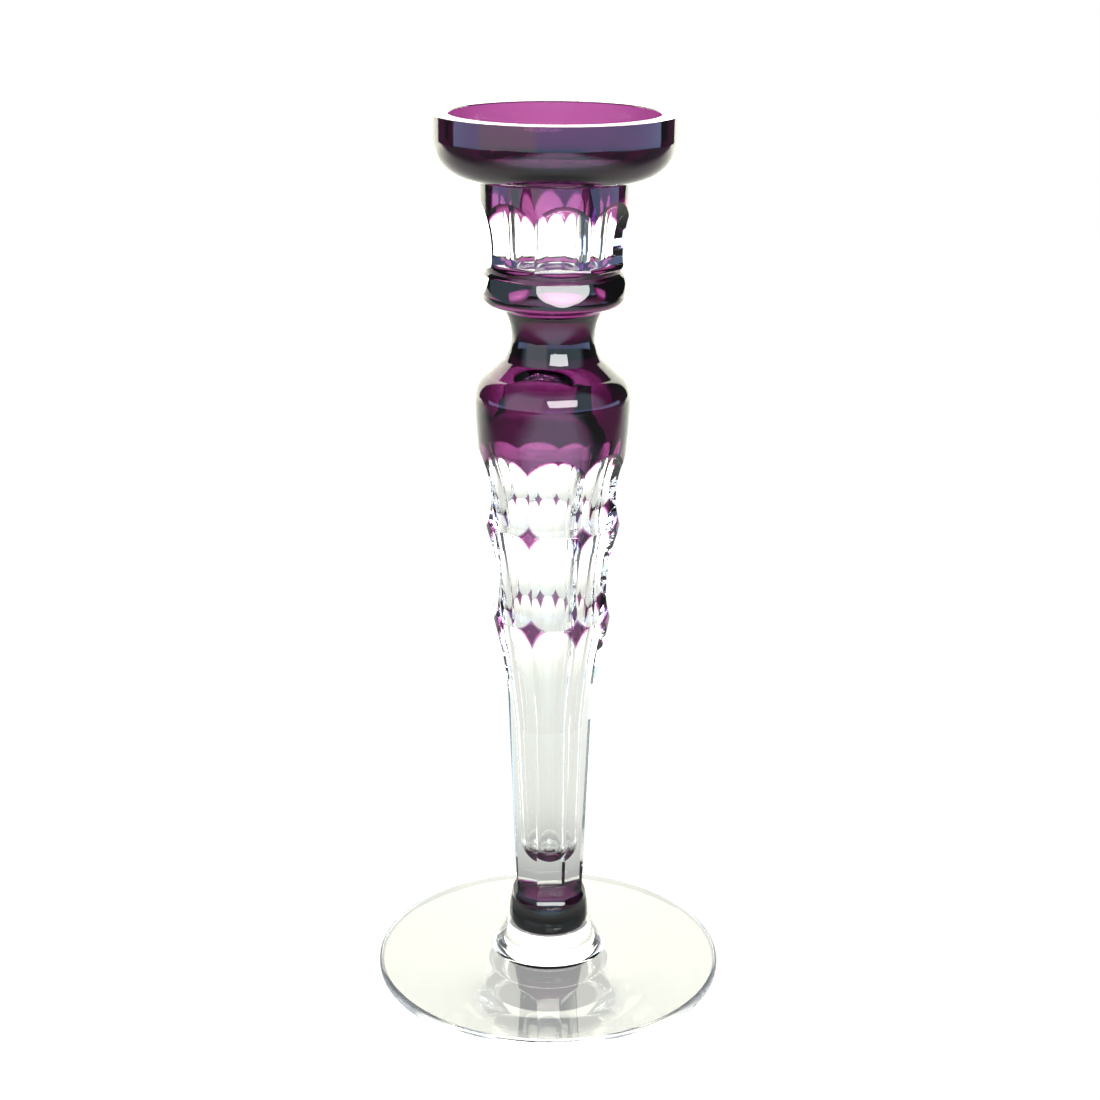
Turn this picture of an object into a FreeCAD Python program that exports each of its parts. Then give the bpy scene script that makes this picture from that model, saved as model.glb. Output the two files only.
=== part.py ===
"""Cut crystal candlestick: clear glass with an amethyst overlay, in millimetres, +Z up.

The candlestick is built the way a glass shop builds it. Gathers of clear crystal are
joined hot, one on top of the other. A thin skin of amethyst glass covers all of them
except the foot. Eight cuts around the axis then go through that skin, so that what is
left of it is a few bands and sixteen small islands. The origin is the centre of the
foot's underside, and a cut faces -Y.
"""
import FreeCAD, Part
import math
import os

os.makedirs("parts", exist_ok=True)

# ---- driving dimensions -----------------------------------------------------------
FACETS = 8                 # cuts around the axis, in every row
SKIN = 0.6                 # thickness of the amethyst overlay
REACH = 40.0               # half width of a cutting tool, more than any cut needs
TOP_Z = 300.0              # whole height

# foot
FOOT_R = 60.3              # widest radius of the foot
FOOT_EDGE_Z = 2.3          # height of that widest line
FOOT_REST_R = 58.6         # radius of the flat that it stands on
FOOT_RIM_R = 59.3          # where the rounded edge meets the top face
FOOT_RIM_Z = 4.4
FOOT_WEB_R = 20.4          # where the top face turns up into the boss
FOOT_WEB_Z = 7.9
BOSS_R = 15.0              # lip of the boss under the knob
BOSS_Z = 17.4

# knob, the solid lower end of the stem
KNOB_BASE_R = 13.4         # flat end of the knob, closed by the overlay too
KNOB_R = 13.9
KNOB_Z = 21.0              # height of the knob's widest line
KNOB_SHOULDER_R = 13.0
KNOB_SHOULDER_Z = 27.0     # the long cuts end here
STEM_FOOT_R = 13.3         # uncut stem just above the knob
STEM_FOOT_Z = 40.0

# stem: radii of the uncut blank at its two sharp creases, and at its shoulder
LOWER_CREASE_Z = 133.6
LOWER_CREASE_R = 20.2
UPPER_CREASE_Z = 166.7
UPPER_CREASE_R = 23.1
SHOULDER_Z = 208.5
SHOULDER_R = 25.85
CUT_TOP_Z = 193.6          # top of the arches under the shoulder
CUT_TOP_R = 24.85

# neck
NECK_R = 13.9
NECK_Z = 229.5
NECK_TOP_R = 15.8
NECK_TOP_Z = 237.0         # joint between the neck and the candle nozzle
STEM_TOP_Z = 209.0         # joint between the hollow stem and the neck

# hollow inside the stem, which is blown and leans a little to one side
HOLLOW_TIP_Z = 42.0
HOLLOW_LOW_R = 6.6
HOLLOW_LOW_Z = 50.0
HOLLOW_SIDE = ((7.8, 93.0), (12.4, 134.0), (13.6, 166.7))
HOLLOW_TOP_R = 17.6
HOLLOW_TOP_Z = 196.5
HOLLOW_DOME_Z = 214.0
HOLLOW_LEAN = 1.03         # degrees towards -X, about its tip

# nozzle that holds the candle
NOZZLE_R = 24.4
BULGE_R = 23.85
BULGE_Z = 246.8
BULGE_TOP_R = 22.4
BULGE_TOP_Z = 250.9
SOCKET_R = 11.4            # takes a 22 mm dinner candle
SOCKET_FLOOR_Z = 250.0
SOCKET_FILLET = 2.0

# drip dish
DISH_R = 39.5
DISH_CORNER = 12.8         # radius of the dish's outer corner
DISH_BOTTOM_Z = 280.0
DISH_FLOOR_Z = 285.5
DISH_INNER_R = 33.5
DISH_INNER_CORNER = 8.0
RIM_CHAMFER = 0.4

# depth of each row of cuts, as distance from the axis to the flat at mid-cut
ROW_A_DEPTH = 20.54        # short cuts under the shoulder
ROW_A_Z = 176.4
ROW_B_DEPTH = 17.9         # second row
ROW_B_Z = 143.5
UPPER_CREASE_CUT = 22.1    # where rows A and B meet
LOWER_CREASE_CUT = 19.55   # where row B and the long cuts meet
LONG_CUT_BEND = (16.6, 121.5)
LONG_CUT_STRAIGHT = (14.55, 104.0)
LONG_CUT_LOW = (11.3, 32.0)
NOZZLE_TURN = 4.0          # degrees that the nozzle's cuts stand round from the stem's
NOZZLE_CUT_TOP = (24.6, 274.8)
NOZZLE_CUT_MID = (20.85, 256.5)
NOZZLE_CUT_LOW = (20.95, 254.1)
NOZZLE_CUT_TURN = (21.75, 252.45)
NOZZLE_CUT_END = (23.5, 251.7)
PRINTY_LOW = (23.62, 242.4)
PRINTY_HIGH = (21.7, 249.6)   # the half-moon cuts are flat and lean in as they rise
PRINTY_END = (23.9, 250.0)


# ---- helpers ----------------------------------------------------------------------
def point(radius, height):
    """Point of the half section, which lies in the XZ plane."""
    return FreeCAD.Vector(radius, 0, height)


def section(start, *steps):
    """Closed face from a start point and steps: (end) for a line, (middle, end) for an arc."""
    edges = []
    here = point(*start)
    for step in steps + ((start,),):
        end = point(*step[-1])
        if here.distanceToPoint(end) < 1e-7:
            continue
        if len(step) == 1:
            edges.append(Part.LineSegment(here, end).toShape())
        else:
            edges.append(Part.Arc(here, point(*step[0]), end).toShape())
        here = end
    return Part.Face(Part.Wire(edges))


def turned(face):
    """Solid of revolution about the Z axis."""
    return face.revolve(FreeCAD.Vector(0, 0, 0), FreeCAD.Vector(0, 0, 1), 360)


def on_circle(centre, radius, degrees):
    """Point at an angle on a circle of the half section, measured from the radial direction."""
    angle = math.radians(degrees)
    return centre[0] + radius * math.cos(angle), centre[1] + radius * math.sin(angle)


def wheel_cuts(face, turn=0.0):
    """Eight cutting tools around the axis: the section extruded flat across each cut."""
    face.translate(FreeCAD.Vector(0, -REACH, 0))
    tool = face.extrude(FreeCAD.Vector(0, 2 * REACH, 0))
    tools = []
    for index in range(FACETS):
        one = tool.copy()
        angle = 360.0 * index / FACETS - 90 + turn
        one.rotate(FreeCAD.Vector(0, 0, 0), FreeCAD.Vector(0, 0, 1), angle)
        tools.append(one)
    return tools


def sag(depth, low_z, end):
    """Middle point of the arc that starts level at (depth, low_z) and ends at a given point."""
    rise = end[0] - depth
    run = end[1] - low_z
    radius = (run * run + rise * rise) / (2 * rise)
    half = math.asin(run / radius) / 2
    return depth + radius * (1 - math.cos(half)), low_z + radius * math.sin(half)


def round_end(radius, height, tip):
    """Middle point of the arc from (radius, height) to a tip on the axis, as on a ball."""
    rise = tip - height
    ball = (radius * radius + rise * rise) / (2 * rise)
    half = math.asin(radius / ball) / 2
    return ball * math.sin(half), tip - ball * (1 - math.cos(half))


# ---- sections of the uncut blank; inset 0 is the outside, inset SKIN the clear core ---
def stem_blank(inset):
    """Stem, shoulder and neck from the boss up to the nozzle."""
    return section(
        (0, BOSS_Z + inset),
        ((KNOB_BASE_R - inset, BOSS_Z + inset),),
        ((KNOB_R - 0.1 - inset, 18.8 + inset / 2), (KNOB_R - inset, KNOB_Z)),
        ((KNOB_R - 0.3 - inset, 24.2), (KNOB_SHOULDER_R - inset, KNOB_SHOULDER_Z)),
        ((STEM_FOOT_R - inset, STEM_FOOT_Z),),
        ((LOWER_CREASE_R - inset, LOWER_CREASE_Z),),
        ((UPPER_CREASE_R - inset, UPPER_CREASE_Z),),
        ((CUT_TOP_R - inset, CUT_TOP_Z),),
        ((25.5 - inset, 201.0), (SHOULDER_R - inset, SHOULDER_Z)),
        ((24.9 - inset, 213.2), (21.5 - inset, 216.9)),
        ((16.1 - inset, 221.6),),
        ((NECK_R - inset, NECK_Z), (NECK_TOP_R - inset, NECK_TOP_Z)),
        ((0, NECK_TOP_Z),),
    )


def nozzle_blank(inset):
    """Nozzle from the neck joint up to the dish."""
    return section(
        (0, NECK_TOP_Z),
        ((NECK_TOP_R - inset, NECK_TOP_Z),),
        ((17.2 - inset, 238.9 + inset / 2), (20.4 - inset, 239.7 + inset)),
        ((22.6 - inset, 240.8 + inset / 2), (23.5 - inset, 243.5)),
        ((BULGE_R - inset, BULGE_Z), (BULGE_TOP_R - inset, BULGE_TOP_Z)),
        ((NOZZLE_R - inset, 258.0),),
        ((NOZZLE_R - inset, DISH_BOTTOM_Z),),
        ((0, DISH_BOTTOM_Z),),
    )


def dish_blank(inset):
    """Dish, as a solid block up to the rim."""
    corner = DISH_CORNER - inset
    centre = (DISH_R - DISH_CORNER, DISH_BOTTOM_Z + DISH_CORNER)
    return section(
        (0, DISH_BOTTOM_Z + inset),
        (on_circle(centre, corner, -90),),
        (on_circle(centre, corner, -45), on_circle(centre, corner, 0)),
        ((DISH_R - inset, TOP_Z),),
        ((0, TOP_Z),),
    )


# ---- hollows ----------------------------------------------------------------------
def stem_hollow():
    """Closed bubble inside the stem, with a round tip and a domed top."""
    bubble = turned(section(
        (0, HOLLOW_TIP_Z),
        (round_end(HOLLOW_LOW_R, HOLLOW_LOW_Z, HOLLOW_TIP_Z), (HOLLOW_LOW_R, HOLLOW_LOW_Z)),
        *((place,) for place in HOLLOW_SIDE),
        ((HOLLOW_TOP_R, HOLLOW_TOP_Z),),
        (round_end(HOLLOW_TOP_R, HOLLOW_TOP_Z, HOLLOW_DOME_Z), (0, HOLLOW_DOME_Z)),
    ))
    bubble.rotate(point(0, HOLLOW_TIP_Z), FreeCAD.Vector(0, 1, 0), -HOLLOW_LEAN)
    return bubble


def candle_socket():
    """Bore for the candle, open at the top."""
    corner = (SOCKET_R - SOCKET_FILLET, SOCKET_FLOOR_Z + SOCKET_FILLET)
    return turned(section(
        (0, SOCKET_FLOOR_Z),
        (on_circle(corner, SOCKET_FILLET, -90),),
        (on_circle(corner, SOCKET_FILLET, -45), on_circle(corner, SOCKET_FILLET, 0)),
        ((SOCKET_R, TOP_Z),),
        ((0, TOP_Z),),
    ))


def dish_hollow():
    """Inside of the dish, with a softened mouth where it drops into the socket."""
    corner = (DISH_INNER_R - DISH_INNER_CORNER, DISH_FLOOR_Z + DISH_INNER_CORNER)
    mouth = 1.2
    return turned(section(
        (0, DISH_FLOOR_Z - mouth),
        ((SOCKET_R, DISH_FLOOR_Z - mouth),),
        ((SOCKET_R + 0.3 * mouth, DISH_FLOOR_Z - 0.3 * mouth), (SOCKET_R + mouth, DISH_FLOOR_Z)),
        (on_circle(corner, DISH_INNER_CORNER, -90),),
        (on_circle(corner, DISH_INNER_CORNER, -45), on_circle(corner, DISH_INNER_CORNER, 0)),
        ((DISH_INNER_R, TOP_Z - RIM_CHAMFER),),
        ((DISH_INNER_R + RIM_CHAMFER, TOP_Z),),
        ((0, TOP_Z),),
    ))


# ---- cutting tools ------------------------------------------------------------------
def stem_cuts():
    """Three rows on the stem, which meet in two horizontal creases."""
    upper_crease = (UPPER_CREASE_CUT, UPPER_CREASE_Z)
    lower_crease = (LOWER_CREASE_CUT, LOWER_CREASE_Z)
    arch_top = (CUT_TOP_R + 0.25, CUT_TOP_Z + 0.35)
    end = (KNOB_SHOULDER_R + 0.3, KNOB_SHOULDER_Z + 0.4)
    return wheel_cuts(section(
        (REACH, end[1]),
        (end,),
        ((LONG_CUT_LOW[0] + 0.45, end[1] + 1.9), LONG_CUT_LOW),
        (LONG_CUT_STRAIGHT,),
        (LONG_CUT_BEND, lower_crease),
        (sag(ROW_B_DEPTH, ROW_B_Z, lower_crease), (ROW_B_DEPTH, ROW_B_Z)),
        (sag(ROW_B_DEPTH, ROW_B_Z, upper_crease), upper_crease),
        ((ROW_A_DEPTH, ROW_A_Z), arch_top),
        ((REACH, arch_top[1]),),
    ))


def nozzle_cuts():
    """Tall cuts around the nozzle, under the dish."""
    return wheel_cuts(section(
        (REACH, NOZZLE_CUT_END[1]),
        (NOZZLE_CUT_END,),
        (NOZZLE_CUT_TURN, NOZZLE_CUT_LOW),
        (NOZZLE_CUT_MID,),
        (sag(NOZZLE_CUT_MID[0], NOZZLE_CUT_MID[1], NOZZLE_CUT_TOP), NOZZLE_CUT_TOP),
        ((REACH, NOZZLE_CUT_TOP[1]),),
    ), NOZZLE_TURN)


def printy_cuts():
    """Half-moon cuts on the bulge, straight above and round below."""
    return wheel_cuts(section(
        (REACH, PRINTY_LOW[1]),
        (PRINTY_LOW,),
        (PRINTY_HIGH,),
        (PRINTY_END,),
        ((REACH, PRINTY_END[1]),),
    ), NOZZLE_TURN)


# ---- pieces -------------------------------------------------------------------------
def slab(low, high):
    """Round slab that keeps one stretch of height."""
    return Part.makeCylinder(2 * REACH, high - low, FreeCAD.Vector(0, 0, low))


def by_angle(solids):
    """Solids in order of the angle of their centre, starting from -Y."""
    def angle(solid):
        centre = solid.CenterOfMass
        return math.degrees(math.atan2(centre.x, -centre.y)) % 360
    return sorted(solids, key=angle)


def save(name, shape):
    """Write one node and print what it holds."""
    solids = shape.Solids
    body = solids[0] if len(solids) == 1 else Part.makeCompound(solids)
    body.exportStep("parts/" + name + ".step")
    box = body.optimalBoundingBox()
    print(f"{name}: {len(solids)} solid, {body.Volume / 1000:.2f} cm3, "
          f"z {box.ZMin:.1f} to {box.ZMax:.1f}, valid {body.isValid()}")


def foot():
    """Foot disc with its rounded edge, low dome and boss."""
    return turned(section(
        (0, 0),
        ((FOOT_REST_R, 0),),
        ((59.8, 0.7), (FOOT_R, FOOT_EDGE_Z)),
        ((60.1, 3.6), (FOOT_RIM_R, FOOT_RIM_Z)),
        ((42.0, 5.75), (FOOT_WEB_R, FOOT_WEB_Z)),
        ((19.3, 8.6), (18.4, 10.0)),
        ((16.25, 13.5), (BOSS_R, BOSS_Z - 0.7)),
        ((BOSS_R - 0.2, BOSS_Z - 0.2), (BOSS_R - 0.7, BOSS_Z)),
        ((0, BOSS_Z),),
    ))


def build():
    """Make every piece and write it."""
    stem_tools = stem_cuts()
    nozzle_tools = nozzle_cuts() + printy_cuts()
    stem_core = turned(stem_blank(SKIN))
    stem_skin = turned(stem_blank(0)).cut(stem_core).cut(stem_tools)
    nozzle_core = turned(nozzle_blank(SKIN))
    nozzle_skin = turned(nozzle_blank(0)).cut(nozzle_core).cut(nozzle_tools)
    dish_core = turned(dish_blank(SKIN))
    dish_skin = turned(dish_blank(0)).cut(dish_core)
    nozzle_top = Part.makeCylinder(NOZZLE_R, SKIN, FreeCAD.Vector(0, 0, DISH_BOTTOM_Z))

    save("foot", foot())
    cut_core = stem_core.cut(stem_tools).cut(stem_hollow())
    save("stem_crystal", cut_core.common(slab(BOSS_Z, STEM_TOP_Z)))
    save("neck_crystal", cut_core.common(slab(STEM_TOP_Z, NECK_TOP_Z)))
    save("nozzle_crystal", nozzle_core.cut(nozzle_tools).cut(candle_socket()))
    dish_block = dish_core.fuse(nozzle_top).removeSplitter()
    save("dish_crystal", dish_block.cut(dish_hollow()).cut(candle_socket()))
    save("dish_casing", dish_skin.cut(nozzle_top))

    rings = sorted(nozzle_skin.Solids, key=lambda solid: solid.BoundBox.ZMin)
    save("nozzle_casing_lower", rings[0])
    save("nozzle_casing_upper", rings[1])

    islands = sorted(stem_skin.Solids, key=lambda solid: solid.CenterOfMass.z)
    save("knob_casing", islands[0])
    save("shoulder_casing", islands[-1])
    for row, first in (("lower", 1), ("upper", 1 + FACETS)):
        for number, solid in enumerate(by_angle(islands[first:first + FACETS]), 1):
            save(f"stem_diamond_{row}_{number}", solid)
    print("skin islands:", len(islands), "nozzle rings:", len(rings))


build()
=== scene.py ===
# %% [markdown]
# A cut crystal candlestick, built in Blender around its CAD frame. The real one is clear
# glass under a skin of amethyst glass. A cutter has ground eight flats around it, row by
# row, and wherever a flat goes deeper than the skin, the clear crystal shows. Everything
# that makes it beautiful is optical, so this lesson is about exact surfaces: each piece
# is a closed shell, worked out by formula, and light does the rest.

# %% Load the frame
import math
import bmesh
import bpy
import numpy as np
from mathutils import Matrix, Vector


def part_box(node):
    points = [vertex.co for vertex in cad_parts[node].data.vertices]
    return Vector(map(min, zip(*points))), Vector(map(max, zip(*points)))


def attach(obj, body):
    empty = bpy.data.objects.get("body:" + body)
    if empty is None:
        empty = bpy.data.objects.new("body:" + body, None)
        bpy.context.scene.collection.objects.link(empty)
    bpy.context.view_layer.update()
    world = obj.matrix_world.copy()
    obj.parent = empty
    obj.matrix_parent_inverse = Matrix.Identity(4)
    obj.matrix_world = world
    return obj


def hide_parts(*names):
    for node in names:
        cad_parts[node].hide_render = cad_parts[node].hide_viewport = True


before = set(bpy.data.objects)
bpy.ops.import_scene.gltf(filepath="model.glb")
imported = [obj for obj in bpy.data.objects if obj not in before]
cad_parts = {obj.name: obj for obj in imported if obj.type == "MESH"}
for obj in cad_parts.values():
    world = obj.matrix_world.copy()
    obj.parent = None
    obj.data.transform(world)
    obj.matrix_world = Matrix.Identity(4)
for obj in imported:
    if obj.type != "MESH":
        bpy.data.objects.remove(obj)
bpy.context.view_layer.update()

# %% [markdown]
# The camera comes first, because every choice of light and finish is judged through it.
# A product photographer would use a short telephoto lens a little above the dish and
# look down. The tripod isn't perfectly level, so the camera also has a slight roll.
# An empty target with a constraint would work too; plain angles keep it readable.

# %% Camera
MM = 0.001
LENS_MM = 65.4
CAMERA_DISTANCE = 635.7 * MM
CAMERA_HEIGHT = 369.2 * MM
CAMERA_SIDE = 0.5 * MM
LOOK_DOWN = math.radians(18.57)
LOOK_TURN = math.radians(3.5)
LOOK_ROLL = math.radians(0.45)


def add_camera():
    camera = bpy.data.objects.new("camera", bpy.data.cameras.new("camera"))
    bpy.context.scene.collection.objects.link(camera)
    turn = Matrix.Rotation(-LOOK_TURN, 4, "Z")
    aim = turn @ Matrix.Rotation(math.pi / 2 - LOOK_DOWN, 4, "X") @ Matrix.Rotation(LOOK_ROLL, 4, "Z")
    place = turn @ Vector((-CAMERA_SIDE, -CAMERA_DISTANCE, CAMERA_HEIGHT))
    camera.matrix_world = Matrix.Translation(place) @ aim
    camera.data.lens = LENS_MM
    camera.data.sensor_width = 36.0
    camera.data.clip_start = 0.01
    bpy.context.scene.camera = camera
    return camera


camera = add_camera()
print("camera at", [round(v, 3) for v in camera.matrix_world.translation])

# %% [markdown]
# Outlines. A turned or blown piece is known by its half section: radius against height.
# Lines and arcs are enough for glass. A spline would also fit, but an arc has an exact
# radius and slope at every height, and those give exact normals, which glass needs:
# a wrong normal bends light the wrong way and shows as a smear.

# %% Half sections made of lines and arcs


def arc_of(start, middle, end):
    """Centre and radius of the circle through three points of a half section."""
    (ax, ay), (bx, by), (cx, cy) = start, middle, end
    d = 2 * (ax * (by - cy) + bx * (cy - ay) + cx * (ay - by))
    a2, b2, c2 = ax * ax + ay * ay, bx * bx + by * by, cx * cx + cy * cy
    x = (a2 * (by - cy) + b2 * (cy - ay) + c2 * (ay - by)) / d
    y = (a2 * (cx - bx) + b2 * (ax - cx) + c2 * (bx - ax)) / d
    return x, y, math.hypot(ax - x, ay - y)


class Outline:
    """Radius as a function of height, from steps (end) for a line or (middle, end) for an arc."""

    def __init__(self, start, *steps):
        self.spans = []
        here = start
        for step in steps:
            end = step[-1]
            arc = None
            if len(step) == 2:
                x, y, size = arc_of(here, step[0], end)
                arc = (x, y, size, 1.0 if step[0][0] > x else -1.0)
            self.spans.append((here, end, arc))
            here = end
        self.knots = [start[1]] + [span[1][1] for span in self.spans]

    def __call__(self, z, slope=False):
        """Radius at heights z, or with slope the change of radius per unit of height."""
        z = np.asarray(z, float)
        out = np.full(z.shape, NO_CUT if not slope else 0.0)
        for (r0, z0), (r1, z1), arc in self.spans:
            here = (z >= z0 - 1e-9) & (z <= z1 + 1e-9)
            if arc is None:
                steep = (r1 - r0) / (z1 - z0)
                value = steep + 0 * z if slope else r0 + steep * (z - z0)
            else:
                x, y, size, side = arc
                run = np.sqrt(np.maximum(size * size - (z - y) ** 2, 1e-12))
                value = -side * (z - y) / run if slope else x + side * run
            out = np.where(here, value, out)
        return out


NO_CUT = 1000.0  # a radius that no piece reaches, for heights that a row of cuts doesn't touch
print("outline helper ready")

# %% [markdown]
# The driving sizes, in millimetres as a glass shop would write them. They repeat the CAD
# model's, and the joint heights come from the frame itself, so a changed model shows up
# here as a changed shape. The skin of amethyst is only 0.6 mm thick: thicker overlays
# read as black, thinner ones as pink.

# %% Sizes taken from the frame, and the outlines of the uncut blanks


def top_of(node):
    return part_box(node)[1][2] / MM


SKIN = 0.6
KNOB_BASE_R = 13.4
BOSS_Z = top_of("foot")
STEM_TOP_Z = top_of("stem_crystal")
NECK_TOP_Z = top_of("neck_crystal")
DISH_BOTTOM_Z = top_of("nozzle_crystal")
RIM_Z = top_of("dish_crystal")
FOOT_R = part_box("foot")[1][0] / MM - 0.04
FACETS = 8
HALF_CUT = math.pi / FACETS
NOZZLE_TURN = math.radians(4.0)
GAP = 0.006  # pieces that are fused in the real glass stop this far apart, in millimetres


def stem_blank(inset):
    return Outline(
        (KNOB_BASE_R - inset, BOSS_Z + inset),
        ((13.8 - inset, 18.8 + inset / 2), (13.9 - inset, 21.0)),
        ((13.6 - inset, 24.2), (13.0 - inset, 27.0)),
        ((13.3 - inset, 40.0),),
        ((20.2 - inset, 133.6),),
        ((23.1 - inset, 166.7),),
        ((24.85 - inset, 193.6),),
        ((25.5 - inset, 201.0), (25.85 - inset, 208.5)),
        ((24.9 - inset, 213.2), (21.5 - inset, 216.9)),
        ((16.1 - inset, 221.6),),
        ((13.9 - inset, 229.5), (15.8 - inset, NECK_TOP_Z)),
    )


def nozzle_blank(inset):
    return Outline(
        (15.8 - inset, NECK_TOP_Z),
        ((17.2 - inset, 238.9 + inset / 2), (20.4 - inset, 239.7 + inset)),
        ((22.6 - inset, 240.8 + inset / 2), (23.5 - inset, 243.5)),
        ((23.85 - inset, 246.8), (22.4 - inset, 250.9)),
        ((24.4 - inset, 258.0),),
        ((24.4 - inset, DISH_BOTTOM_Z),),
    )


print("joints at", [round(z, 1) for z in (BOSS_Z, STEM_TOP_Z, NECK_TOP_Z, DISH_BOTTOM_Z, RIM_Z)])

# %% [markdown]
# The cuts. A cutter holds the glass against the rim of a wheel, which leaves a surface
# that is flat across and hollow from top to bottom. So a row of cuts is one more outline:
# the distance from the axis to the flat at each height. Where two rows meet there is a
# crease, and where a cut runs out of the blank it ends in an arch.

# %% Outlines of the cuts


def sag(depth, level, end):
    """Middle point of the arc that starts level at (depth, level) and ends at a given point."""
    rise, run = end[0] - depth, end[1] - level
    size = (run * run + rise * rise) / (2 * rise)
    half = math.asin(run / size) / 2
    return depth + size * (1 - math.cos(half)), level + size * math.sin(half)


UPPER_CREASE = (22.1, 166.7)
LOWER_CREASE = (19.55, 133.6)
ROW_A = (20.54, 176.4)
ROW_B = (17.9, 143.5)
NOZZLE_CUT = (20.85, 256.5)
NOZZLE_ARCH = (24.6, 274.8)
BETWEEN_ROWS_Z = 250.8  # full skin between the half-moons and the flutes

stem_cut = Outline(
    (13.3, 27.4),
    ((11.75, 29.3), (11.3, 32.0)),
    ((14.55, 104.0),),
    ((16.6, 121.5), LOWER_CREASE),
    (sag(*ROW_B, LOWER_CREASE), ROW_B),
    (sag(*ROW_B, UPPER_CREASE), UPPER_CREASE),
    (ROW_A, (25.1, 193.95)),
)
printy_cut = Outline((23.62, 242.4), ((21.7, 249.6),), ((23.9, 250.0),))
flute_cut = Outline(
    (23.5, 251.7),
    ((21.75, 252.45), (20.95, 254.1)),
    (NOZZLE_CUT,),
    (sag(*NOZZLE_CUT, NOZZLE_ARCH), NOZZLE_ARCH),
)


def nozzle_cut(z, slope=False):
    """Both rows of the nozzle as one: the half-moons on the bulge and the flutes above."""
    lower, upper = printy_cut(z, slope), flute_cut(z, slope)
    return np.where(np.asarray(z) < BETWEEN_ROWS_Z, lower, upper)


nozzle_cut.knots = printy_cut.knots + flute_cut.knots
print("deepest flat of the stem:", round(float(stem_cut(ROW_B[1])), 2), "mm from the axis")

# %% [markdown]
# A shell is a closed mesh gathered from sheets, and each sheet is a grid of points with
# the exact normal at every point. A boolean of solids would give the same shape, but its
# triangles and averaged normals would make the glass look melted. Sheets share their
# edge points, so merging close points closes the shell, and the stored normals keep the
# ground ridges crisp. Every face also says whether it is polished or fused to a neighbour.

# %% Shell builder
POLISHED, FUSED = 0, 1
AROUND = 16  # columns in the 45 degrees between two cut centres
SAME_POINT = 0.0004  # points closer than this, in millimetres, are one
ARC_STEP = math.radians(4)  # longest step along an arc of a half section


def swept(profile, around):
    """Turns pairs of radius and height, or of their directions, round the axis."""
    ring = np.stack([np.cos(around), np.sin(around)], 1)[None]
    outwards = profile[:, None, :1] * ring
    upwards = profile[:, None, 1:] + 0 * ring[..., :1]
    return np.concatenate([outwards, upwards], 2)


class Shell:
    """Grids of points gathered piece by piece, then merged into one closed mesh."""

    def __init__(self):
        self.points, self.normals, self.faces, self.kinds = [], [], [], []
        self.count = 0

    def sheet(self, points, normals, kind=POLISHED):
        """Adds a grid of points in millimetres, with a normal each."""
        rows, columns = points.shape[:2]
        index = np.arange(rows * columns).reshape(rows, columns) + self.count
        quads = np.stack([index[:-1, :-1], index[:-1, 1:], index[1:, 1:], index[1:, :-1]], -1)
        self.points.append(points.reshape(-1, 3))
        self.normals.append(np.broadcast_to(normals, points.shape).reshape(-1, 3))
        self.faces.append(quads.reshape(-1, 4))
        self.kinds.append(np.full(len(self.faces[-1]), kind))
        self.count += rows * columns

    def spin(self, start, *steps, turn=0.0, columns=8 * AROUND, lean=0.0, foot_z=0.0):
        """Adds a surface of revolution: each step is (kind, end) or (kind, middle, end)."""
        around = turn - math.pi / 2 + np.linspace(0, 2 * math.pi, columns + 1)
        here = start
        for step in steps:
            end = step[-1]
            if len(step) == 2:
                line = np.array([here, end], float)
                along = line[1] - line[0]
                across = np.array([[along[1], -along[0]]] * 2) / np.hypot(*along)
            else:
                x, y, size = arc_of(here, step[1], end)
                angles = np.unwrap([math.atan2(p[1] - y, p[0] - x) for p in (here, step[1], end)])
                count = max(3, int(abs(angles[2] - angles[0]) / ARC_STEP) + 1)
                angle = np.linspace(angles[0], angles[2], count + 1)
                across = np.stack([np.cos(angle), np.sin(angle)], 1)
                line = across * size + (x, y)
                line[0], line[-1] = here, end
            points = swept(line, around)
            points[..., 0] += lean * (points[..., 2] - foot_z)
            self.sheet(points, swept(across, around), step[0])
            here = end

    def joint_ring(self, z, inner, outer, aside):
        """Adds a flat fused ring whose hole sits to one side of the axis."""
        around = -math.pi / 2 + np.linspace(0, 2 * math.pi, 8 * AROUND + 1)
        ring = np.stack([np.cos(around), np.sin(around), 0 * around], 1)
        points = np.stack([inner * ring + (aside, 0, z), outer * ring + (0, 0, z)])
        self.sheet(points, (0.0, 0.0, 1.0), FUSED)

    def build(self, name):
        """Merges the sheets into one closed mesh object, in metres."""
        mesh = bpy.data.meshes.new(name)
        faces = np.concatenate(self.faces)
        mesh.from_pydata(np.concatenate(self.points) * MM, [], faces.tolist())
        corner_normals = np.concatenate(self.normals)[faces.ravel()].ravel()
        stored = mesh.attributes.new("true_normal", "FLOAT_VECTOR", "CORNER")
        stored.data.foreach_set("vector", corner_normals.astype(np.float32))
        fused = mesh.attributes.new("fused", "FLOAT", "FACE")
        fused.data.foreach_set("value", np.concatenate(self.kinds).astype(np.float32))
        close_up(mesh)
        keep_normals(mesh)
        piece = bpy.data.objects.new(name, mesh)
        bpy.context.scene.collection.objects.link(piece)
        return piece


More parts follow.
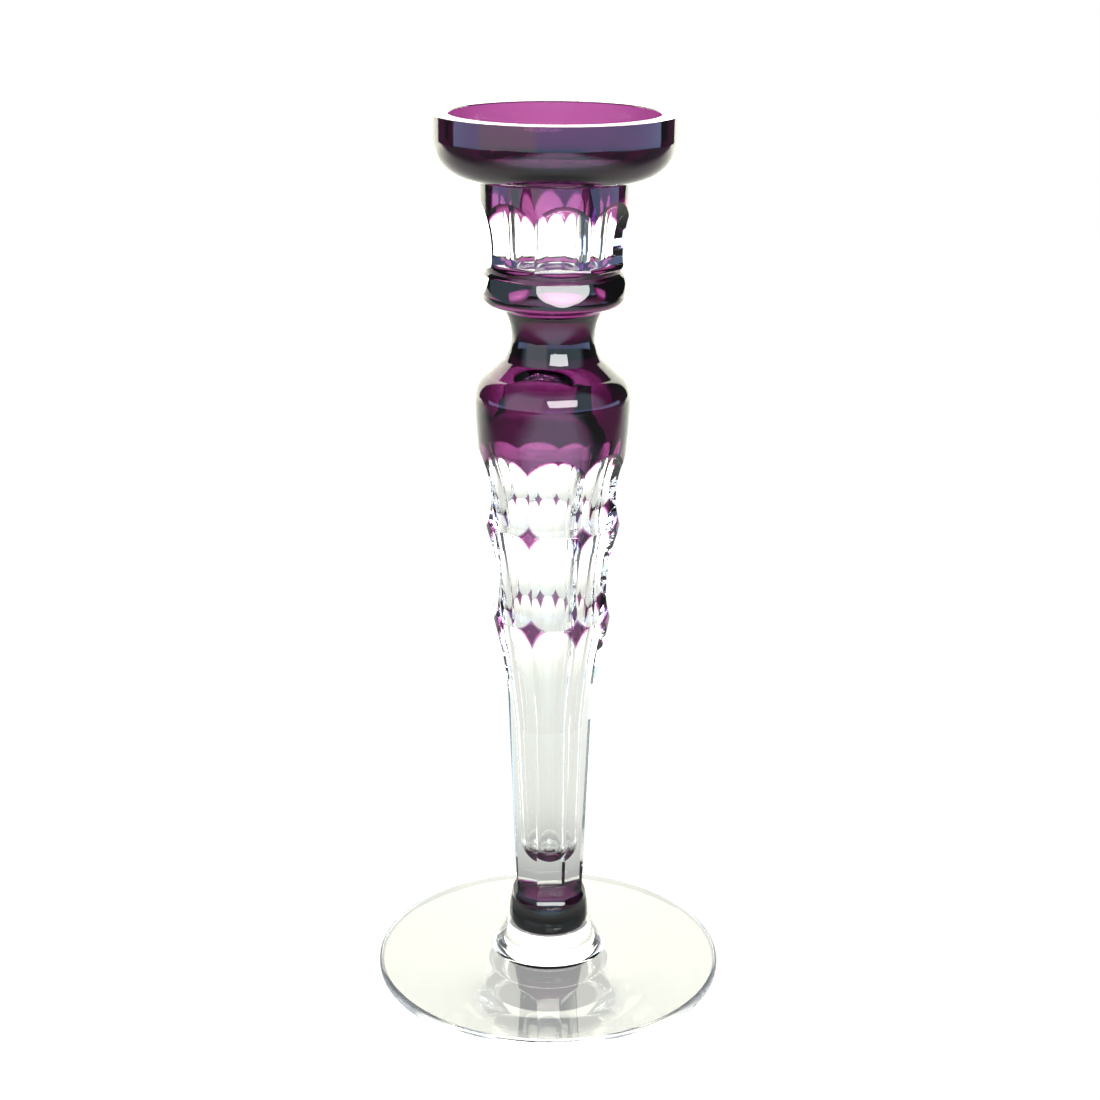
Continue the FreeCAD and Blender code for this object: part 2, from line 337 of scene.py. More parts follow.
def close_up(mesh):
    """Merges points that coincide and turns every face outwards."""
    bm = bmesh.new()
    bm.from_mesh(mesh)
    bmesh.ops.remove_doubles(bm, verts=bm.verts, dist=SAME_POINT * MM)
    bmesh.ops.dissolve_degenerate(bm, edges=bm.edges, dist=SAME_POINT * MM)
    bmesh.ops.delete(bm, geom=[edge for edge in bm.edges if edge.is_wire], context="EDGES")
    bmesh.ops.delete(bm, geom=[vert for vert in bm.verts if not vert.link_edges], context="VERTS")
    bmesh.ops.recalc_face_normals(bm, faces=bm.faces)
    loose = [edge for edge in bm.edges if len(edge.link_faces) != 2]
    if loose:
        heights = sorted({round(edge.verts[0].co.z / MM, 1) for edge in loose})
        print("open edges:", len(loose), "near z", heights[:8])
    bm.to_mesh(mesh)
    bm.free()


def keep_normals(mesh):
    """Gives each face corner its exact normal, on the side that the face looks to."""
    count = len(mesh.loops)
    true = np.zeros(count * 3, np.float32)
    mesh.attributes["true_normal"].data.foreach_get("vector", true)
    true = true.reshape(-1, 3)
    true /= np.maximum(np.linalg.norm(true, axis=1, keepdims=True), 1e-9)
    face = np.zeros(len(mesh.polygons) * 3, np.float32)
    mesh.polygons.foreach_get("normal", face)
    sizes = np.zeros(len(mesh.polygons), np.int32)
    mesh.polygons.foreach_get("loop_total", sizes)
    face = np.repeat(face.reshape(-1, 3), sizes, axis=0)
    true *= np.where((true * face).sum(1, keepdims=True) < 0, -1.0, 1.0)
    mesh.attributes.remove(mesh.attributes["true_normal"])
    mesh.polygons.foreach_set("use_smooth", np.ones(len(mesh.polygons), bool))
    mesh.normals_split_custom_set(true.tolist())


print("shell builder ready")

# %% [markdown]
# Cut glass from formulas. Around the axis, each cut covers the angles where the flat lies
# inside the blank: the arc cosine of flat over radius. Compare the flat with the outer
# blank and you get the edge of the cut; compare it with the clear core and you get the
# edge of the amethyst. Between those two edges the skin thins out like a wedge, which is
# why real overlay cuts have a soft pink fringe, and here it comes without any painting.

# %% Sheets of a cut gather


def half_angle(cut, radius, z):
    """Angle from the middle of a cut to its edge on a blank, between 0 and half a cut."""
    ratio = np.clip(cut(z) / radius(z), -1.0, 1.0)
    return np.minimum(np.arccos(ratio), HALF_CUT)


def crossings(low, high, cut, *radii):
    """Heights at which a cut starts, ends or reaches its neighbour."""
    scan = np.linspace(low, high, 4000)
    found = []
    for radius in radii:
        for share in (1.0, math.cos(HALF_CUT)):
            gap = cut(scan) - share * radius(scan)
            for i in np.flatnonzero(gap[:-1] * gap[1:] < 0):
                a, b, first = scan[i], scan[i + 1], gap[i]
                for _ in range(40):
                    middle = (a + b) / 2
                    value = float(cut(middle) - share * radius(middle))
                    a, b = (middle, b) if value * first > 0 else (a, middle)
                found.append((a + b) / 2)
    return found


def rows_between(low, high, stops, step=0.8):
    """Heights from low to high through every stop, closer together near the stops."""
    inside = [low, high] + [z for z in stops if low + 0.003 < z < high - 0.003]
    stops = sorted(inside)
    stops = [z for i, z in enumerate(stops) if i == 0 or z - stops[i - 1] > 0.002]
    rows = []
    for a, b in zip(stops[:-1], stops[1:]):
        count = max(5, math.ceil((b - a) / step))
        rows.append(a + (b - a) * (1 - np.cos(np.pi * np.arange(count) / count)) / 2)
    return np.append(np.concatenate(rows), stops[-1])


def flat_sheet(shell, z, start, end, cut, angle, columns, kind=POLISHED):
    """Ground surface of one cut, from one angle to another, measured from the cut's middle."""
    share = np.linspace(0, 1, columns + 1)[None]
    u = start[:, None] * (1 - share) + end[:, None] * share
    depth = cut(z)[:, None]
    x, y = depth + 0 * u, depth * np.tan(u)
    fall = -cut(z, slope=True)[:, None] + 0 * u
    c, s = math.cos(angle), math.sin(angle)
    points = np.stack([c * x - s * y, s * x + c * y, z[:, None] + 0 * u], -1)
    shell.sheet(points, np.stack([c + 0 * u, s + 0 * u, fall], -1), kind)


def round_sheet(shell, z, start, end, radius, angle, columns, kind):
    """Part of a blank between two angles, measured from the middle of a cut."""
    share = np.linspace(0, 1, columns + 1)[None]
    u = angle + start[:, None] * (1 - share) + end[:, None] * share
    r = radius(z)[:, None]
    fall = -radius(z, slope=True)[:, None] + 0 * u
    points = np.stack([r * np.cos(u), r * np.sin(u), z[:, None] + 0 * u], -1)
    shell.sheet(points, np.stack([np.cos(u), np.sin(u), fall], -1), kind)


def cut_angles(turn):
    return [turn - math.pi / 2 + 2 * HALF_CUT * k for k in range(FACETS)]


def core_sheets(shell, low, high, blank, cut, turn):
    """Outside of a clear gather: ground where it is cut, fused where the skin is left."""
    core = blank(SKIN + GAP)
    z = rows_between(low, high, core.knots + cut.knots + crossings(low, high, cut, core))
    edge = half_angle(cut, core, z)
    for angle in cut_angles(turn):
        flat_sheet(shell, z, -edge, edge, cut, angle, 8)
        round_sheet(shell, z, edge, 2 * HALF_CUT - edge, core, angle, AROUND, FUSED)


def skin_sheets(shell, low, high, blank, cut, angles):
    """Both sides of the amethyst skin between the cuts at these angles and the next ones."""
    outer, core = blank(0), blank(SKIN)
    stops = outer.knots + core.knots + cut.knots + crossings(low, high, cut, outer, core)
    z = rows_between(low, high, stops, 0.6)
    inner_edge, outer_edge = half_angle(cut, core, z), half_angle(cut, outer, z)
    across = 2 * HALF_CUT
    for angle in angles:
        flat_sheet(shell, z, inner_edge, outer_edge, cut, angle, 4)
        round_sheet(shell, z, outer_edge, across - outer_edge, outer, angle, AROUND, POLISHED)
        flat_sheet(shell, z, -outer_edge, -inner_edge, cut, angle + across, 4)
        round_sheet(shell, z, inner_edge, across - inner_edge, core, angle, AROUND, FUSED)


print("a full cut spans", round(math.degrees(2 * HALF_CUT)), "degrees")

# %% [markdown]
# Finishes. Lead crystal bends light more than window glass, with an index of about 1.55,
# and its polish is nearly perfect, so the only texture is a very slight waviness from the
# felt wheel and a trace of grey green in the body. The amethyst is coloured in the mass:
# a volume absorption inside a thin closed skin darkens by the real path of the light,
# which tinting the surface can't do. Fused faces let light straight through, because
# there is no air between a skin and its crystal.

# %% Materials
CRYSTAL_INDEX = 1.55
AMETHYST_COLOUR = (0.445, 0.002, 0.393, 1.0)
AMETHYST_DENSITY = 5600.0


def polish(nodes, links, shader, tint, wave):
    """Faint waviness in the surface and unevenness in the body, both from noise."""
    place = nodes.new("ShaderNodeTexCoord")
    wide = nodes.new("ShaderNodeTexNoise")
    wide.inputs["Scale"].default_value = 60.0
    wide.inputs["Detail"].default_value = 2.0
    links.new(place.outputs["Object"], wide.inputs["Vector"])
    colours = nodes.new("ShaderNodeValToRGB")
    colours.color_ramp.elements[0].position = 0.3
    colours.color_ramp.elements[1].position = 0.7
    colours.color_ramp.elements[0].color = (*tint[0], 1.0)
    colours.color_ramp.elements[1].color = (*tint[1], 1.0)
    links.new(wide.outputs["Fac"], colours.inputs["Fac"])
    links.new(colours.outputs["Color"], shader.inputs["Base Color"])
    bump = nodes.new("ShaderNodeBump")
    bump.inputs["Strength"].default_value = wave
    bump.inputs["Distance"].default_value = 0.00002
    links.new(wide.outputs["Fac"], bump.inputs["Height"])
    links.new(bump.outputs["Normal"], shader.inputs["Normal"])


def new_glass(name, tint, wave):
    """A polished glass material, and its shader node, for mixing in the fused faces."""
    material = bpy.data.materials.new(name)
    material.use_nodes = True
    nodes, links = material.node_tree.nodes, material.node_tree.links
    shader = nodes["Principled BSDF"]
    shader.inputs["Transmission Weight"].default_value = 1.0
    shader.inputs["Roughness"].default_value = 0.0
    shader.inputs["IOR"].default_value = CRYSTAL_INDEX
    polish(nodes, links, shader, tint, wave)
    return material, shader


def fused_mix(material, shader):
    """Lets light straight through the faces that are fused to a neighbour."""
    nodes, links = material.node_tree.nodes, material.node_tree.links
    mark = nodes.new("ShaderNodeAttribute")
    mark.attribute_name = "fused"
    clear = nodes.new("ShaderNodeBsdfTransparent")
    mix = nodes.new("ShaderNodeMixShader")
    links.new(mark.outputs["Fac"], mix.inputs["Fac"])
    links.new(shader.outputs["BSDF"], mix.inputs[1])
    links.new(clear.outputs["BSDF"], mix.inputs[2])
    links.new(mix.outputs["Shader"], nodes["Material Output"].inputs["Surface"])


def make_crystal():
    material, shader = new_glass("lead_crystal", ((0.955, 0.96, 0.94), (0.975, 0.98, 0.96)), 0.05)
    fused_mix(material, shader)
    return material


def make_amethyst():
    material, shader = new_glass("amethyst_overlay", ((0.97, 0.95, 0.98), (1.0, 1.0, 1.0)), 0.05)
    fused_mix(material, shader)
    nodes, links = material.node_tree.nodes, material.node_tree.links
    colour = nodes.new("ShaderNodeVolumeAbsorption")
    colour.inputs["Color"].default_value = AMETHYST_COLOUR
    colour.inputs["Density"].default_value = AMETHYST_DENSITY
    links.new(colour.outputs["Volume"], nodes["Material Output"].inputs["Volume"])
    return material


lead_crystal = make_crystal()
amethyst_overlay = make_amethyst()
passed = [round(math.exp(-AMETHYST_DENSITY * (1 - c) * SKIN * MM), 2) for c in AMETHYST_COLOUR[:3]]
print("one pass through the skin lets through", passed)

# %% [markdown]
# From here on the pieces are made one by one, from the table up. A small helper closes a
# shell, gives it its finish, and tells the frame which CAD node it stands for. Nothing on
# a candlestick moves, so every piece rides on the one body.

# %% Placing a piece


def place_piece(shell, node, material):
    piece = shell.build("glass_" + node)
    piece.data.materials.append(material)
    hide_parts(node)
    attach(piece, "root")
    return piece


def crystal_piece(shell, node):
    return place_piece(shell, node, lead_crystal)


def amethyst_piece(shell, node):
    return place_piece(shell, node, amethyst_overlay)


print("ready to make", len(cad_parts), "pieces")

# %% [markdown]
# The foot is a disc of clear crystal, spun while hot, with a fire-rounded edge. It rises
# only a little towards the middle, so its top mirrors the stem as a grey band, and ends in
# a boss with a small lip. The knob of the stem was pressed onto it hot, so the top of the
# boss is a fused face. One turned outline makes all of it.

# %% Foot


def make_foot():
    shell = Shell()
    shell.spin(
        (0, 0),
        (POLISHED, (FOOT_R - 1.7, 0)),
        (POLISHED, (FOOT_R - 0.5, 0.7), (FOOT_R, 2.3)),
        (POLISHED, (FOOT_R - 0.2, 3.6), (FOOT_R - 1.0, 4.4)),
        (POLISHED, (42.0, 5.75), (20.4, 7.9)),
        (POLISHED, (19.3, 8.6), (18.4, 10.0)),
        (POLISHED, (16.25, 13.5), (15.0, BOSS_Z - 0.7)),
        (POLISHED, (14.8, BOSS_Z - 0.2), (14.3, BOSS_Z)),
        (POLISHED, (KNOB_BASE_R, BOSS_Z)),
        (FUSED, (0, BOSS_Z)),
        columns=256,
    )
    return crystal_piece(shell, "foot")


foot = make_foot()
print("foot across", round(2 * FOOT_R, 1), "mm,", len(foot.data.polygons), "faces")

# %% [markdown]
# The stem is blown, so it is hollow. The bubble is what makes the row of small diamonds
# on the far side appear inside the near cuts. It starts as a round tip above the knob,
# widens upwards, and is closed by a dome under the neck. The neck and the stem are two
# gathers, so the dome is split between them.

# %% Stem and neck crystal
BUBBLE_TIP = (0.0, 42.0)
BUBBLE_LEAN = -0.018
BUBBLE_LOW = (6.6, 50.0)
BUBBLE_MID = ((7.8, 93.0), (12.4, 134.0), (13.6, 166.7))
BUBBLE_TOP = (17.6, 196.5)
BUBBLE_DOME = (0.0, 214.0)


def on_ball(side, tip, z):
    """Point at a height on the ball that passes through a side point and a tip on the axis."""
    rise = tip[1] - side[1]
    size = (side[0] ** 2 + rise ** 2) / (2 * rise)
    centre = tip[1] - size
    return math.sqrt(size ** 2 - (z - centre) ** 2), z


def make_stem():
    shell = Shell()
    low, high = BOSS_Z + SKIN + GAP, STEM_TOP_Z - GAP
    core_sheets(shell, low, high, stem_blank, stem_cut, 0.0)
    core = stem_blank(SKIN + GAP)
    shell.spin((0, low), (FUSED, (float(core(low)), low)))
    mouth = on_ball(BUBBLE_TOP, BUBBLE_DOME, high)
    shell.spin(
        BUBBLE_TIP,
        (POLISHED, on_ball(BUBBLE_LOW, BUBBLE_TIP, 44.0), BUBBLE_LOW),
        *((POLISHED, point) for point in BUBBLE_MID),
        (POLISHED, BUBBLE_TOP),
        (POLISHED, on_ball(BUBBLE_TOP, BUBBLE_DOME, (BUBBLE_TOP[1] + high) / 2), mouth),
        lean=BUBBLE_LEAN,
        foot_z=BUBBLE_TIP[1],
    )
    shell.joint_ring(high, mouth[0], float(core(high)), BUBBLE_LEAN * (high - BUBBLE_TIP[1]))
    return crystal_piece(shell, "stem_crystal")


def make_neck():
    shell = Shell()
    low, high = STEM_TOP_Z + GAP, NECK_TOP_Z - GAP
    core_sheets(shell, low, high, stem_blank, stem_cut, 0.0)
    core = stem_blank(SKIN + GAP)
    mouth = on_ball(BUBBLE_TOP, BUBBLE_DOME, low)
    shell.joint_ring(low, mouth[0], float(core(low)), BUBBLE_LEAN * (low - BUBBLE_TIP[1]))
    shell.spin(
        mouth,
        (POLISHED, on_ball(BUBBLE_TOP, BUBBLE_DOME, BUBBLE_DOME[1] - 0.7), BUBBLE_DOME),
        lean=BUBBLE_LEAN,
        foot_z=BUBBLE_TIP[1],
    )
    shell.spin((0, high), (FUSED, (float(core(high)), high)))
    return crystal_piece(shell, "neck_crystal")


stem = make_stem()
neck = make_neck()
print("stem", len(stem.data.polygons), "faces, neck", len(neck.data.polygons), "faces")

# %% [markdown]
# What is left of the skin on the stem, eighteen pieces: a cup round the knob, sixteen
# diamonds in two rows, and the broad sleeve over shoulder and neck. The cup has a floor,
# because a cased gather is covered at its end too, and that is why the knob looks nearly
# black. The heights where each piece begins and ends aren't typed in: they are where the
# cut meets the clear core on a ridge, so they follow the outlines.

# %% Skin of the stem


def skin_span(cut, core, low, high):
    """Heights on the ridges where the skin is left, as pairs."""
    marks = [low] + sorted(crossings(low, high, cut, lambda z: core(z) * math.cos(HALF_CUT))) + [high]
    spans = []
    for a, b in zip(marks[:-1], marks[1:]):
        middle = (a + b) / 2
        if b - a > 0.05 and cut(middle) > core(middle) * math.cos(HALF_CUT):
            if spans and abs(spans[-1][1] - a) < 1e-6:
                spans[-1] = (spans[-1][0], b)
            else:
                spans.append((a, b))
    return spans


def end_ring(shell, z, blank):
    """Fused end of a skin where it meets another piece."""
    outer, core = float(blank(0)(z)), float(blank(SKIN)(z))
    shell.spin((core, z), (FUSED, (outer, z)))


spans = skin_span(stem_cut, stem_blank(SKIN), BOSS_Z + SKIN, NECK_TOP_Z - GAP)
print("skin left on the ridges of the stem:", [(round(a, 1), round(b, 1)) for a, b in spans])


def make_stem_skins():
    shell = Shell()
    skin_sheets(shell, *spans[0], stem_blank, stem_cut, cut_angles(0.0))
    outer, low, inside = stem_blank(0), BOSS_Z + GAP, BOSS_Z + SKIN
    side = [(POLISHED, (float(outer(z)), z)) for z in np.linspace(low, inside, 5)[1:]]
    shell.spin((0, low), (FUSED, (float(outer(low)), low)), *side)
    shell.spin((0, inside), (FUSED, (float(stem_blank(SKIN)(inside)), inside)))
    made = [amethyst_piece(shell, "knob_casing")]
    for row, span in (("lower", spans[1]), ("upper", spans[2])):
        for number, angle in enumerate(cut_angles(0.0), 1):
            shell = Shell()
            skin_sheets(shell, *span, stem_blank, stem_cut, [angle])
            made.append(amethyst_piece(shell, f"stem_diamond_{row}_{number}"))
    shell = Shell()
    skin_sheets(shell, *spans[3], stem_blank, stem_cut, cut_angles(0.0))
    end_ring(shell, spans[3][1], stem_blank)
    made.append(amethyst_piece(shell, "shoulder_casing"))
    return made


stem_skins = make_stem_skins()
print("made", len(stem_skins), "skins on the stem")

# %% [markdown]
# The nozzle holds the candle. It is a thick clear gather with a bored socket, cut with
# eight tall flutes and, on the bulge below, eight half-moons that a cutter calls printies.
# The flutes stand a few degrees round from the stem's, as hand cutting leaves them.

# %% Nozzle
SOCKET_R = 11.4
SOCKET_FLOOR = 250.0
SOCKET_FILLET = 2.0


def corner(radius, z, fillet, turn):
    """Point on the fillet where a wall of this radius meets a floor, at an angle."""
    return radius - fillet * (1 - math.cos(turn)), z + fillet * (1 - math.sin(turn))


def make_nozzle():
    shell = Shell()
    low, high = NECK_TOP_Z + GAP, DISH_BOTTOM_Z - GAP
    core_sheets(shell, low, high, nozzle_blank, nozzle_cut, NOZZLE_TURN)
    core = nozzle_blank(SKIN + GAP)
    shell.spin((0, low), (FUSED, (float(core(low)), low)), turn=NOZZLE_TURN)
    shell.spin(
        (0, SOCKET_FLOOR),
        (POLISHED, (SOCKET_R - SOCKET_FILLET, SOCKET_FLOOR)),
        (POLISHED, corner(SOCKET_R, SOCKET_FLOOR, SOCKET_FILLET, math.pi / 4),
         (SOCKET_R, SOCKET_FLOOR + SOCKET_FILLET)),
        (POLISHED, (SOCKET_R, high)),
        (FUSED, (float(core(high)), high)),
        turn=NOZZLE_TURN,
    )
    return crystal_piece(shell, "nozzle_crystal")


def make_nozzle_skins():
    spans = skin_span(nozzle_cut, nozzle_blank(SKIN), NECK_TOP_Z + GAP, DISH_BOTTOM_Z - GAP)
    print("skin left on the ridges of the nozzle:", [(round(a, 1), round(b, 1)) for a, b in spans])
    made = []
    for node, (low, high), joint in (
        ("nozzle_casing_lower", (spans[0][0], spans[-2][1]), spans[0][0]),
        ("nozzle_casing_upper", spans[-1], spans[-1][1]),
    ):
        shell = Shell()
        skin_sheets(shell, low, high, nozzle_blank, nozzle_cut, cut_angles(NOZZLE_TURN))
        outer, core = float(nozzle_blank(0)(joint)), float(nozzle_blank(SKIN)(joint))
        shell.spin((core, joint), (FUSED, (outer, joint)), turn=NOZZLE_TURN)
        made.append(amethyst_piece(shell, node))
    return made


nozzle = make_nozzle()
nozzle_skins = make_nozzle_skins()
print("nozzle", len(nozzle.data.polygons), "faces")

# %% [markdown]
# The dish catches the wax. Its wall is thick and clear, with the amethyst on the outside
# and underneath only, so looking in from above you see the colour from behind through
# clear glass. The rim is ground flat and polished, which is why it flashes white.

# %% Dish
DISH_R = 39.5
DISH_CORNER = 12.8
DISH_INNER_R = 33.5
DISH_INNER_CORNER = 8.0
DISH_FLOOR = 285.5
DISH_MOUTH = 1.2
NOZZLE_R = 24.4
RIM_CHAMFER = 0.4


def dish_arc(inset, degrees):
    """Point on the outer corner of the dish at an angle below the horizontal."""
    turn = math.radians(degrees)
    size = DISH_CORNER - inset
    centre_r, centre_z = DISH_R - DISH_CORNER, DISH_BOTTOM_Z + DISH_CORNER
    return centre_r + size * math.cos(turn), centre_z - size * math.sin(turn)


def make_dish():
    shell = Shell()
    inset = SKIN + GAP
    under = DISH_BOTTOM_Z + inset
    wall = DISH_R - inset
    inner_centre = DISH_FLOOR + DISH_INNER_CORNER
    shell.spin(
        (SOCKET_R, DISH_BOTTOM_Z),
        (FUSED, (NOZZLE_R - GAP, DISH_BOTTOM_Z)),
        (FUSED, (NOZZLE_R - GAP, under)),
        (FUSED, dish_arc(inset, 90)),
        (FUSED, dish_arc(inset, 45), dish_arc(inset, 0)),
        (FUSED, (wall, RIM_Z)),
        (POLISHED, (DISH_INNER_R + RIM_CHAMFER, RIM_Z)),
        (POLISHED, (DISH_INNER_R, RIM_Z - RIM_CHAMFER)),
        (POLISHED, (DISH_INNER_R, inner_centre)),
        (POLISHED, corner(DISH_INNER_R, DISH_FLOOR, DISH_INNER_CORNER, math.pi / 4),
         (DISH_INNER_R - DISH_INNER_CORNER, DISH_FLOOR)),
        (POLISHED, (SOCKET_R + DISH_MOUTH, DISH_FLOOR)),
        (POLISHED, (SOCKET_R + 0.3 * DISH_MOUTH, DISH_FLOOR - 0.3 * DISH_MOUTH),
         (SOCKET_R, DISH_FLOOR - DISH_MOUTH)),
        (POLISHED, (SOCKET_R, DISH_BOTTOM_Z)),
        columns=192,
    )
    return crystal_piece(shell, "dish_crystal")


def make_dish_skin():
    shell = Shell()
    shell.spin(
        (NOZZLE_R, DISH_BOTTOM_Z),
        (POLISHED, dish_arc(0, 90)),
        (POLISHED, dish_arc(0, 45), dish_arc(0, 0)),
        (POLISHED, (DISH_R, RIM_Z)),
        (POLISHED, (DISH_R - SKIN, RIM_Z)),
        (FUSED, dish_arc(SKIN, 0)),
        (FUSED, dish_arc(SKIN, 45), dish_arc(SKIN, 90)),
        (FUSED, (NOZZLE_R, DISH_BOTTOM_Z + SKIN)),
        (FUSED, (NOZZLE_R, DISH_BOTTOM_Z)),
        columns=192,
    )
    return amethyst_piece(shell, "dish_casing")


dish = make_dish()
dish_skin = make_dish_skin()
print("dish", len(dish.data.polygons), "faces")

# %% [markdown]
# The studio. Glass has no colour of its own worth lighting; it shows what is around it.
# A bright table and a bright wall behind give clean whites, and a cooler, dimmer room in
# front gives the ridges their grey lines. The table glows by itself, with painted light and
# shade: a painted shadow close to the foot, where the glass would shade it, painted light
# growing towards the wall and in front, and painted shade at the sides. A bluish strip at
# the horizon colours the dish's wall. A painted sky of directions does this with no noise,
# where real walls lit by lamps would need many more samples. The one real lamp is a
# softbox, for the glints.

# %% Table, room and lamps
FLOOR_SIZE = 3.0
FLOOR_DROP = 0.0002  # the table lies just under the foot, so the two faces don't fight
# painted light and shade on the glowing table: a painted shadow round the foot, a painted light in
# front, painted shade at the sides
TABLE_PAINTED_SHADOW = (0.42, 0.43, 0.43)
TABLE_NEAR = (0.84, 0.85, 0.81)
TABLE_FRONT_PAINTED_LIGHT = (1.20, 1.70, 1.95)
TABLE_SIDE_PAINTED_SHADE = (0.20, 0.21, 0.23)
TABLE_SPREAD = 0.95  # how fast the painted light on the table widens towards the wall
WALL_BACK = (3.8, 3.8, 3.3)
ROOM_DARK = (0.09, 0.09, 0.10)
ROOM_FRONT = (0.80, 1.10, 1.30)
HORIZON = (1.20, 1.55, 2.70)
PANEL_LEFT = (1.7, 1.8, 2.1)
CEILING = (0.25, 0.27, 0.30)


def value_math(tree, kind, first, second=0.0):
    """One math node on links or plain numbers; gives back its output."""
    node = tree.nodes.new("ShaderNodeMath")
    node.operation = kind
    for socket, value in zip(node.inputs, (first, second)):
        if isinstance(value, bpy.types.NodeSocket):
            tree.links.new(value, socket)
        else:
            socket.default_value = value
    return node.outputs[0]


def ramp_between(tree, value, low, high):
    """Smooth 0 to 1 as a value goes from low to high, or from high to low if low is larger."""
    node = tree.nodes.new("ShaderNodeMapRange")
    node.interpolation_type = "SMOOTHSTEP"
    tree.links.new(value, node.inputs["Value"])
    node.inputs["From Min"].default_value = low
    node.inputs["From Max"].default_value = high
    return node.outputs["Result"]


def layer_colour(tree, below, colour, amount):
    """Puts a colour over another by an amount from 0 to 1."""
    node = tree.nodes.new("ShaderNodeMix")
    node.data_type = "RGBA"
    tree.links.new(amount, node.inputs["Factor"])
    if isinstance(below, bpy.types.NodeSocket):
        tree.links.new(below, node.inputs["A"])
    else:
        node.inputs["A"].default_value = (*below, 1.0)
    node.inputs["B"].default_value = (*colour, 1.0)
    return node.outputs["Result"]


def make_floor():
    """Glowing white table with painted light: a painted shadow round the foot, painted shade at the
    sides, painted light towards the wall.
    """
    mesh = bpy.data.meshes.new("table_top")
    half = FLOOR_SIZE / 2
    corners = [(-half, -half, 0), (half, -half, 0), (half, half, 0), (-half, half, 0)]
    mesh.from_pydata(corners, [], [(0, 1, 2, 3)])
    table = bpy.data.objects.new("table_top", mesh)
    bpy.context.scene.collection.objects.link(table)
    table.location.z = -FLOOR_DROP
    material = bpy.data.materials.new("table_painted_light_shade")
    material.use_nodes = True
    tree = material.node_tree
    place = tree.nodes.new("ShaderNodeTexCoord")
    parts = tree.nodes.new("ShaderNodeSeparateXYZ")
    tree.links.new(place.outputs["Object"], parts.inputs["Vector"])
    x, y = parts.outputs["X"], parts.outputs["Y"]
    spread = value_math(tree, "MULTIPLY", value_math(tree, "MAXIMUM", y, 0.0), TABLE_SPREAD)
    aside = value_math(tree, "SUBTRACT", value_math(tree, "ABSOLUTE", x), spread)
    reach = tree.nodes.new("ShaderNodeVectorMath")
    reach.operation = "LENGTH"
    tree.links.new(place.outputs["Object"], reach.inputs[0])
    # painted shadow round the foot, then painted light towards the wall and in front, then painted
    # shade at the sides
    outside_painted_shadow = ramp_between(tree, reach.outputs["Value"], 0.06, 0.16)
    colour = layer_colour(tree, TABLE_PAINTED_SHADOW, TABLE_NEAR, outside_painted_shadow)
    colour = layer_colour(tree, colour, WALL_BACK, ramp_between(tree, y, 0.15, 1.1))
    colour = layer_colour(tree, colour, TABLE_FRONT_PAINTED_LIGHT, ramp_between(tree, y, -0.10, -0.35))
    colour = layer_colour(tree, colour, TABLE_SIDE_PAINTED_SHADE, ramp_between(tree, aside, 0.2, 0.5))
    glow = tree.nodes.new("ShaderNodeEmission")
    tree.links.new(colour, glow.inputs["Color"])
    white = tree.nodes.new("ShaderNodeEmission")
    white.inputs["Strength"].default_value = 1.05
    path = tree.nodes.new("ShaderNodeLightPath")
    shown = tree.nodes.new("ShaderNodeMixShader")
    tree.links.new(path.outputs["Is Camera Ray"], shown.inputs["Fac"])
    tree.links.new(glow.outputs["Emission"], shown.inputs[1])
    tree.links.new(white.outputs["Emission"], shown.inputs[2])
    tree.links.new(shown.outputs["Shader"], tree.nodes["Material Output"].inputs["Surface"])
    mesh.materials.append(material)
    return table


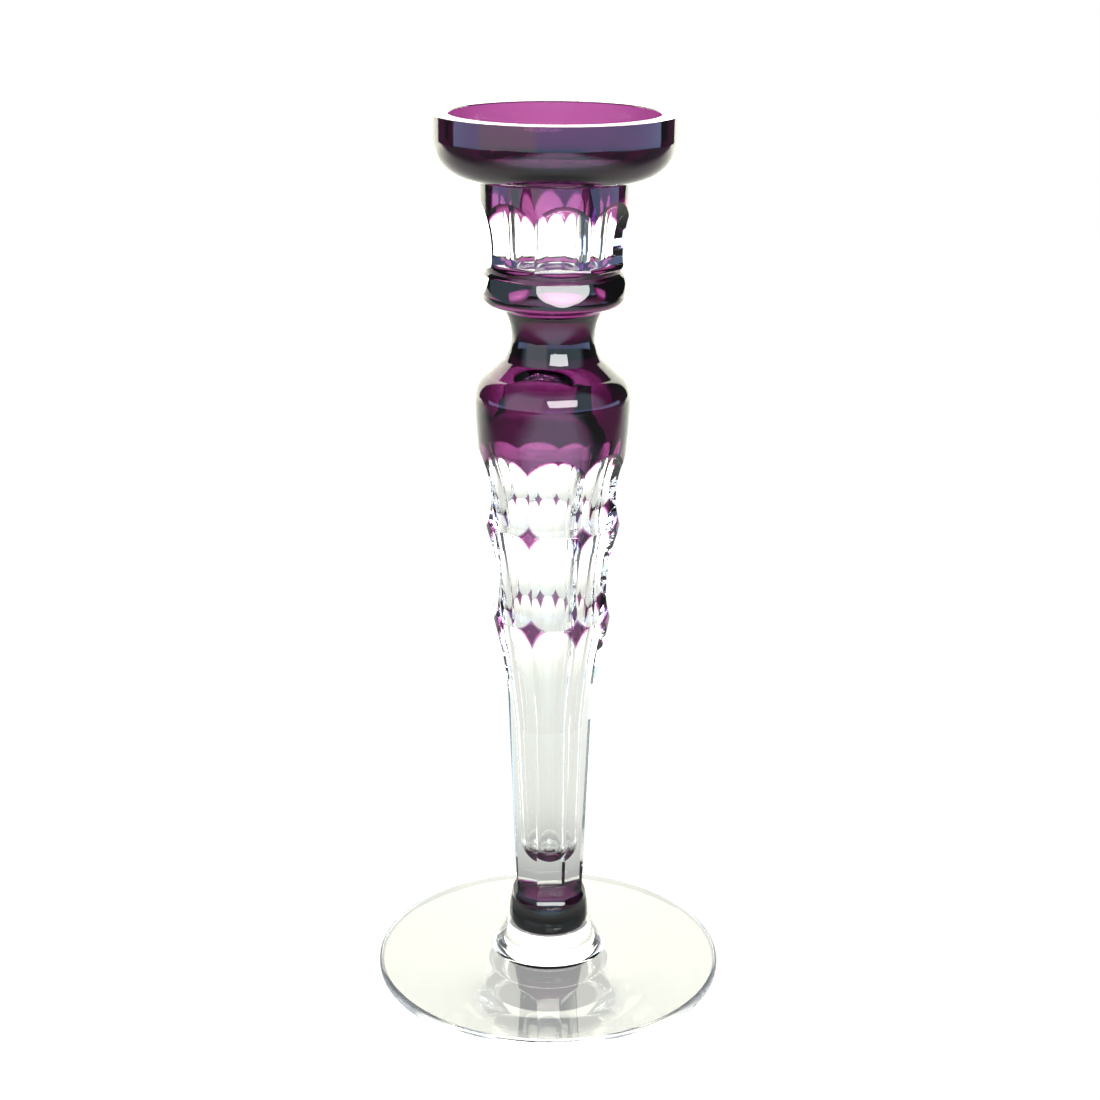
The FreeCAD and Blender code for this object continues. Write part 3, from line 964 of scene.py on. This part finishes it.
def make_room():
    """World light by direction: white wall behind, cool room and a panel in front, dark sides."""
    world = bpy.data.worlds.new("studio_room")
    bpy.context.scene.world = world
    world.use_nodes = True
    tree = world.node_tree
    place = tree.nodes.new("ShaderNodeTexCoord")
    parts = tree.nodes.new("ShaderNodeSeparateXYZ")
    tree.links.new(place.outputs["Generated"], parts.inputs["Vector"])
    x, y = parts.outputs["X"], parts.outputs["Y"]
    from_wall = value_math(tree, "ARCTAN2", x, y)
    from_front = value_math(tree, "ARCTAN2", x, value_math(tree, "MULTIPLY", y, -1.0))
    rise = value_math(tree, "ARCSINE", parts.outputs["Z"])

    def patch(below, colour, angle, left, right, low, high, soft):
        """Panel between two angles round the room and two heights, all in degrees."""
        amount = None
        for value, start, end in ((angle, left, right), (rise, low, high)):
            middle, half = math.radians((start + end) / 2), (end - start) / 2
            off = value_math(tree, "ABSOLUTE", value_math(tree, "SUBTRACT", value, middle))
            edge = ramp_between(tree, off, math.radians(half + soft / 2), math.radians(half - soft / 2))
            amount = edge if amount is None else value_math(tree, "MULTIPLY", amount, edge)
        return layer_colour(tree, below, colour, amount)

    colour = patch(ROOM_DARK, CEILING, from_front, -180, 180, 60, 120, 20)
    colour = patch(colour, ROOM_FRONT, from_front, -85, 75, -90, 60, 20)
    colour = patch(colour, HORIZON, from_front, -108, 108, -9.5, 1, 3)
    colour = patch(colour, PANEL_LEFT, from_front, -75, -20, -25, 48, 6)
    colour = patch(colour, WALL_BACK, from_wall, -44, 44, -90, 48, 3)
    shown = tree.nodes.new("ShaderNodeMixShader")
    seen = tree.nodes["Background"]
    plain = tree.nodes.new("ShaderNodeBackground")
    plain.inputs["Color"].default_value = (1.0, 1.0, 1.0, 1.0)
    path = tree.nodes.new("ShaderNodeLightPath")
    tree.links.new(colour, seen.inputs["Color"])
    tree.links.new(path.outputs["Is Camera Ray"], shown.inputs["Fac"])
    tree.links.new(seen.outputs["Background"], shown.inputs[1])
    tree.links.new(plain.outputs["Background"], shown.inputs[2])
    tree.links.new(shown.outputs["Shader"], tree.nodes["World Output"].inputs["Surface"])
    return world


def add_softbox(name, azimuth, height, distance, width, tall, power):
    """Rectangular lamp that looks at the neck. Azimuth 0 is the camera's side, turning right."""
    lamp = bpy.data.lights.new(name, "AREA")
    lamp.shape = "RECTANGLE"
    lamp.size, lamp.size_y = width, tall
    lamp.energy = power
    box = bpy.data.objects.new(name, lamp)
    bpy.context.scene.collection.objects.link(box)
    angle = math.radians(azimuth - 90)
    box.location = (distance * math.cos(angle), distance * math.sin(angle), height)
    aim = Vector((0, 0, 0.2)) - box.location
    box.rotation_euler = aim.to_track_quat("-Z", "Y").to_euler()
    return box


table = make_floor()
room = make_room()
key_light = add_softbox(
    "softbox_front", azimuth=12.0, height=1.16, distance=1.8, width=1.5, tall=1.0, power=64.0)
print("studio:", table.name, room.name, key_light.name)

# %% [markdown]
# Glass needs deep light paths: a ray may cross six skins and bounce inside a ridge before
# it leaves. Too few bounces turn the dense parts black. The plain view transform keeps
# the white of the table white.

# %% Render depth and look
scene = bpy.context.scene
scene.cycles.max_bounces = 32
scene.cycles.transmission_bounces = 32
scene.cycles.glossy_bounces = 16
scene.cycles.transparent_max_bounces = 96
scene.view_settings.view_transform = "Standard"
print("bounces:", scene.cycles.max_bounces)
